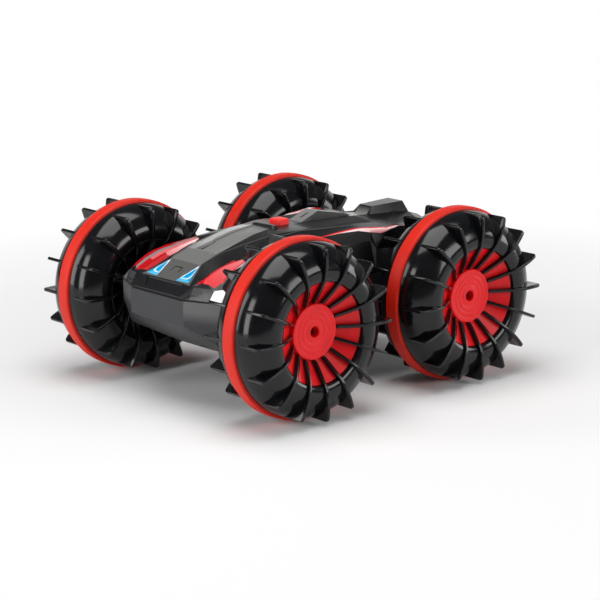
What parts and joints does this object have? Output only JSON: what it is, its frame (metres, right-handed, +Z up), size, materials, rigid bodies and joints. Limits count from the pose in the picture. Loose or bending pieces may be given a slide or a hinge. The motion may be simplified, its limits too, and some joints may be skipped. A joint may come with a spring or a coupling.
{
  "type": "amphibious radio-controlled stunt car",
  "caption": "Low faceted toy car body between large finned float wheels with a tread band, driven by a gear train on each side, with a push button on top.",
  "frame": {"origin": "on the floor under the middle of the wheelbase, midway between left and right wheels", "axes": "+X forward, +Y to the car's left, +Z up"},
  "size_m": [0.217, 0.197, 0.1],
  "materials": {
    "float_black": "polished black moulding with crisp fins",
    "band_red": "satin orange-red rubber",
    "hub_red": "satin-gloss red moulding",
    "hull_black": "fine satin charcoal",
    "shell_black": "semi-gloss black",
    "panel_grey": "satin mid grey",
    "panel_red": "glossy red paint",
    "button_red": "satin red",
    "light_blue": "glossy blue and white print",
    "lamp_white": "glossy white and grey",
    "seal_rubber": "matte black",
    "bush_black": "satin black",
    "gear_white": "unpainted nylon",
    "steel": "bright zinc",
    "motor_can": "plated can",
    "cell_sleeve": "blue shrink sleeve",
    "board_green": "green solder mask"
  },
  "bodies": {
    "chassis": {"hull_lower": "hull_black", "shell_upper": "shell_black", "hull_seal": "seal_rubber", "hood_panel": "panel_grey", "hood_bar": "shell_black", "deck_ramp": "panel_grey", "headlights": "light_blue", "lamps": "lamp_white", "fenders": "panel_red", "stripes": "panel_red", "battery_pack": "cell_sleeve", "battery_door": "hull_black", "circuit_board": "board_green", "body_screws": "steel", "axle_bushes": "bush_black", "gear_plate_left": "gear_white", "gear_plate_right": "gear_white", "motor_left": "motor_can", "motor_right": "motor_can"},
    "wheel_front_left": {"float_outer_front_left": "float_black", "float_inner_front_left": "float_black", "fins_front_left": "float_black", "tread_band_front_left": "band_red", "hub_cap_front_left": "hub_red", "axle_front_left": "steel", "wheel_screw_front_left": "steel", "axle_gear_front_left": "gear_white"},
    "wheel_rear_left": {"float_outer_rear_left": "float_black", "float_inner_rear_left": "float_black", "fins_rear_left": "float_black", "tread_band_rear_left": "band_red", "hub_cap_rear_left": "hub_red", "axle_rear_left": "steel", "wheel_screw_rear_left": "steel", "axle_gear_rear_left": "gear_white"},
    "idler_front_left": {"idler_front_left": "gear_white"},
    "idler_rear_left": {"idler_rear_left": "gear_white"},
    "middle_gear_left": {"middle_gear_left": "gear_white"},
    "motor_rotor_left": {"motor_rotor_left": "steel"},
    "wheel_front_right": {"float_outer_front_right": "float_black", "float_inner_front_right": "float_black", "fins_front_right": "float_black", "tread_band_front_right": "band_red", "hub_cap_front_right": "hub_red", "axle_front_right": "steel", "wheel_screw_front_right": "steel", "axle_gear_front_right": "gear_white"},
    "wheel_rear_right": {"float_outer_rear_right": "float_black", "float_inner_rear_right": "float_black", "fins_rear_right": "float_black", "tread_band_rear_right": "band_red", "hub_cap_rear_right": "hub_red", "axle_rear_right": "steel", "wheel_screw_rear_right": "steel", "axle_gear_rear_right": "gear_white"},
    "idler_front_right": {"idler_front_right": "gear_white"},
    "idler_rear_right": {"idler_rear_right": "gear_white"},
    "middle_gear_right": {"middle_gear_right": "gear_white"},
    "motor_rotor_right": {"motor_rotor_right": "steel"},
    "button": {"power_button": "button_red"}
  },
  "joints": [
    {"name": "wheel_front_left_spin", "type": "hinge", "parent": "chassis", "child": "wheel_front_left", "pos_m": [0.0585, 0.075, 0.05], "axis": [0, 1, 0], "continuous": true},
    {"name": "wheel_rear_left_spin", "type": "hinge", "parent": "chassis", "child": "wheel_rear_left", "pos_m": [-0.0585, 0.075, 0.05], "axis": [0, 1, 0], "continuous": true},
    {"name": "idler_front_left_spin", "type": "hinge", "parent": "chassis", "child": "idler_front_left", "pos_m": [0.031, 0.0395, 0.05], "axis": [0, 1, 0], "continuous": true},
    {"name": "idler_rear_left_spin", "type": "hinge", "parent": "chassis", "child": "idler_rear_left", "pos_m": [-0.031, 0.0395, 0.05], "axis": [0, 1, 0], "continuous": true},
    {"name": "middle_gear_left_spin", "type": "hinge", "parent": "chassis", "child": "middle_gear_left", "pos_m": [0, 0.0395, 0.05], "axis": [0, 1, 0], "continuous": true},
    {"name": "motor_rotor_left_spin", "type": "hinge", "parent": "chassis", "child": "motor_rotor_left", "pos_m": [0, 0.0333, 0.066], "axis": [0, 1, 0], "continuous": true},
    {"name": "wheel_front_right_spin", "type": "hinge", "parent": "chassis", "child": "wheel_front_right", "pos_m": [0.0585, -0.075, 0.05], "axis": [0, 1, 0], "continuous": true},
    {"name": "wheel_rear_right_spin", "type": "hinge", "parent": "chassis", "child": "wheel_rear_right", "pos_m": [-0.0585, -0.075, 0.05], "axis": [0, 1, 0], "continuous": true},
    {"name": "idler_front_right_spin", "type": "hinge", "parent": "chassis", "child": "idler_front_right", "pos_m": [0.031, -0.0395, 0.05], "axis": [0, 1, 0], "continuous": true},
    {"name": "idler_rear_right_spin", "type": "hinge", "parent": "chassis", "child": "idler_rear_right", "pos_m": [-0.031, -0.0395, 0.05], "axis": [0, 1, 0], "continuous": true},
    {"name": "middle_gear_right_spin", "type": "hinge", "parent": "chassis", "child": "middle_gear_right", "pos_m": [0, -0.0395, 0.05], "axis": [0, 1, 0], "continuous": true},
    {"name": "motor_rotor_right_spin", "type": "hinge", "parent": "chassis", "child": "motor_rotor_right", "pos_m": [0, -0.0333, 0.066], "axis": [0, 1, 0], "continuous": true},
    {"name": "power_button_press", "type": "slide", "parent": "chassis", "child": "button", "axis": [0, 0, -1], "range_m": [0, 0.0013], "stiffness_N_per_m": 250}
  ],
  "couplings": [
    {"joint": "wheel_rear_left_spin", "follows": "wheel_front_left_spin", "ratio": 1},
    {"joint": "idler_front_left_spin", "follows": "wheel_front_left_spin", "ratio": -0.66667},
    {"joint": "idler_rear_left_spin", "follows": "wheel_front_left_spin", "ratio": -0.66667},
    {"joint": "middle_gear_left_spin", "follows": "wheel_front_left_spin", "ratio": 0.75862},
    {"joint": "motor_rotor_left_spin", "follows": "wheel_front_left_spin", "ratio": -2.2759},
    {"joint": "wheel_rear_right_spin", "follows": "wheel_front_right_spin", "ratio": 1},
    {"joint": "idler_front_right_spin", "follows": "wheel_front_right_spin", "ratio": -0.66667},
    {"joint": "idler_rear_right_spin", "follows": "wheel_front_right_spin", "ratio": -0.66667},
    {"joint": "middle_gear_right_spin", "follows": "wheel_front_right_spin", "ratio": 0.75862},
    {"joint": "motor_rotor_right_spin", "follows": "wheel_front_right_spin", "ratio": -2.2759}
  ]
}
